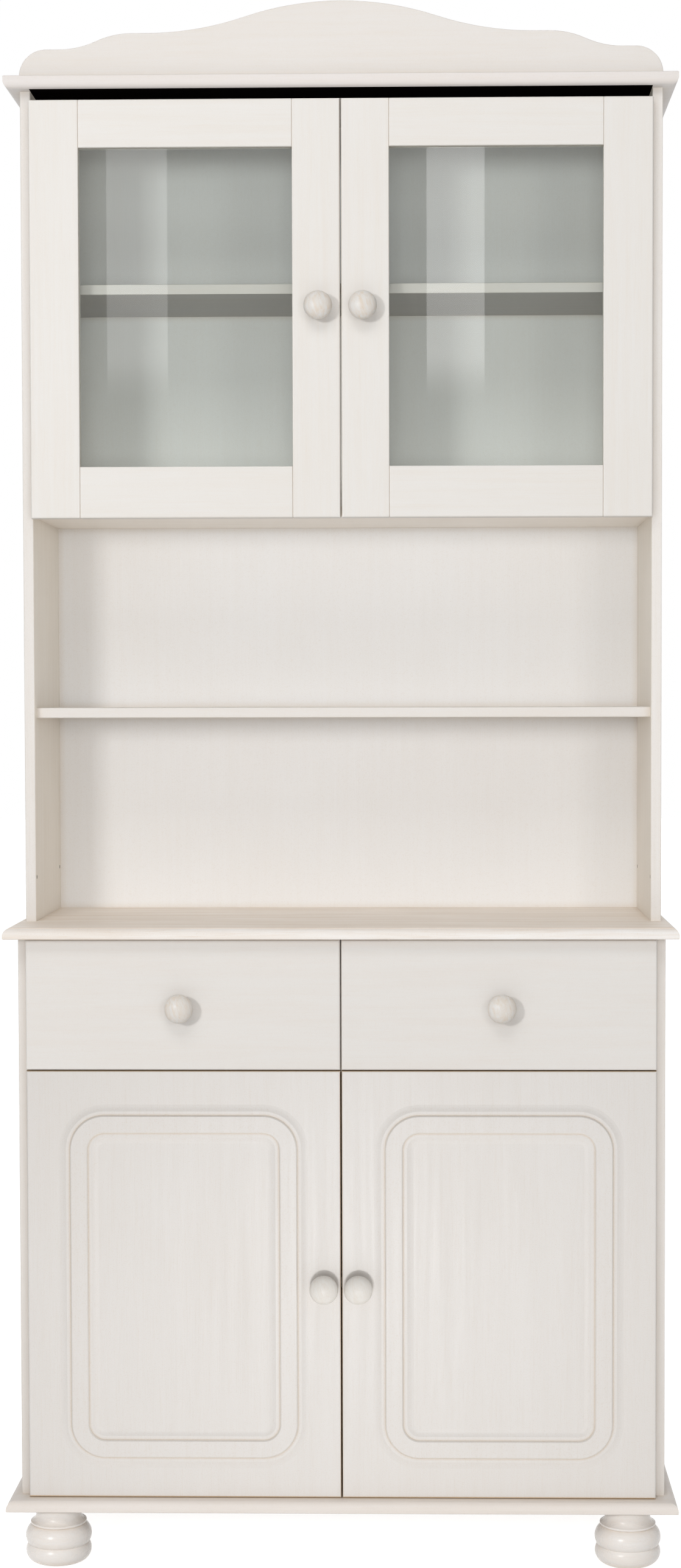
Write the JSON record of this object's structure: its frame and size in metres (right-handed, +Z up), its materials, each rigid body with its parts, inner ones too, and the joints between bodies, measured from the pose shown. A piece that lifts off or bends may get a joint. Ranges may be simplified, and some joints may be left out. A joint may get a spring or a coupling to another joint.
{
  "type": "kitchen buffet",
  "caption": "Painted kitchen buffet on bun feet: lower cupboard with moulded doors and drawers, open nook with shelf, glazed upper cupboard and curved pediment.",
  "frame": {"origin": "on the floor under the middle of the buffet's box, knobs included", "axes": "+Z up, -Y out of the front towards the user, +X to the right as seen from the front"},
  "size_m": [0.838, 0.3426, 1.9442],
  "materials": {
    "painted_carcass": "satin off-white paint",
    "painted_worktop": "satin off-white paint",
    "painted_back_panels": "satin off-white paint",
    "painted_upper_doors": "satin off-white paint",
    "painted_lower_doors": "satin off-white paint",
    "painted_drawer_fronts": "satin off-white paint",
    "painted_beads": "satin off-white paint",
    "painted_knobs": "thin off-white paint over pine",
    "painted_feet": "satin off-white paint",
    "window_glass": "clear float glass",
    "beech_dowel": "bare fluted beech",
    "beech_runner": "bare planed beech",
    "drawer_box_pine": "bare planed pine",
    "drawer_bottom_board": "bare plywood",
    "nickel_hinges": "nickel-plated steel",
    "zinc_screws": "zinc-plated steel",
    "shelf_pin_steel": "nickel-plated steel"
  },
  "bodies": {
    "carcass": {"assembly_dowels": "beech_dowel", "base_board": "painted_carcass", "bun_feet": "painted_feet", "cabinet_back_panel": "painted_back_panels", "cabinet_side_left": "painted_carcass", "cabinet_side_right": "painted_carcass", "carcass_screws": "zinc_screws", "cornice": "painted_carcass", "cupboard_floor": "painted_carcass", "cupboard_shelf": "painted_carcass", "drawer_board": "painted_carcass", "drawer_divider": "painted_carcass", "drawer_runners": "beech_runner", "hinge_arms": "nickel_hinges", "hutch_back_panel": "painted_back_panels", "hutch_side_left": "painted_carcass", "hutch_side_right": "painted_carcass", "lower_cupboard_shelf": "painted_carcass", "nook_shelf": "painted_carcass", "pediment": "painted_carcass", "shelf_pins": "shelf_pin_steel", "worktop": "painted_worktop"},
    "upper_door_left": {"upper_door_left_bottom_rail": "painted_upper_doors", "upper_door_left_closing_stile": "painted_upper_doors", "upper_door_left_glass": "window_glass", "upper_door_left_glazing_beads": "painted_beads", "upper_door_left_hinge_cups": "nickel_hinges", "upper_door_left_hinge_stile": "painted_upper_doors", "upper_door_left_knob": "painted_knobs", "upper_door_left_screws": "zinc_screws", "upper_door_left_top_rail": "painted_upper_doors"},
    "upper_door_right": {"upper_door_right_bottom_rail": "painted_upper_doors", "upper_door_right_closing_stile": "painted_upper_doors", "upper_door_right_glass": "window_glass", "upper_door_right_glazing_beads": "painted_beads", "upper_door_right_hinge_cups": "nickel_hinges", "upper_door_right_hinge_stile": "painted_upper_doors", "upper_door_right_knob": "painted_knobs", "upper_door_right_screws": "zinc_screws", "upper_door_right_top_rail": "painted_upper_doors"},
    "lower_door_left": {"lower_door_left_hinge_cups": "nickel_hinges", "lower_door_left_knob": "painted_knobs", "lower_door_left_leaf": "painted_lower_doors", "lower_door_left_screws": "zinc_screws"},
    "lower_door_right": {"lower_door_right_hinge_cups": "nickel_hinges", "lower_door_right_knob": "painted_knobs", "lower_door_right_leaf": "painted_lower_doors", "lower_door_right_screws": "zinc_screws"},
    "drawer_left": {"drawer_left_back": "drawer_box_pine", "drawer_left_bottom": "drawer_bottom_board", "drawer_left_front": "painted_drawer_fronts", "drawer_left_knob": "painted_knobs", "drawer_left_knob_screw": "zinc_screws", "drawer_left_sides": "drawer_box_pine"},
    "drawer_right": {"drawer_right_back": "drawer_box_pine", "drawer_right_bottom": "drawer_bottom_board", "drawer_right_front": "painted_drawer_fronts", "drawer_right_knob": "painted_knobs", "drawer_right_knob_screw": "zinc_screws", "drawer_right_sides": "drawer_box_pine"}
  },
  "joints": [
    {"name": "upper_door_left_hinge", "type": "hinge", "parent": "carcass", "child": "upper_door_left", "pos_m": [-0.382, -0.06625, 1.5629], "axis": [0, 0, -1], "range_deg": [0, 100]},
    {"name": "upper_door_right_hinge", "type": "hinge", "parent": "carcass", "child": "upper_door_right", "pos_m": [0.382, -0.06625, 1.5629], "axis": [0, 0, 1], "range_deg": [0, 100]},
    {"name": "lower_door_left_hinge", "type": "hinge", "parent": "carcass", "child": "lower_door_left", "pos_m": [-0.383, -0.13325, 0.35225], "axis": [0, 0, -1], "range_deg": [0, 100]},
    {"name": "lower_door_right_hinge", "type": "hinge", "parent": "carcass", "child": "lower_door_right", "pos_m": [0.383, -0.13325, 0.35225], "axis": [0, 0, 1], "range_deg": [0, 100]},
    {"name": "drawer_left_slide", "type": "slide", "parent": "carcass", "child": "drawer_left", "axis": [0, -1, 0], "range_m": [0, 0.18]},
    {"name": "drawer_right_slide", "type": "slide", "parent": "carcass", "child": "drawer_right", "axis": [0, -1, 0], "range_m": [0, 0.18]}
  ]
}
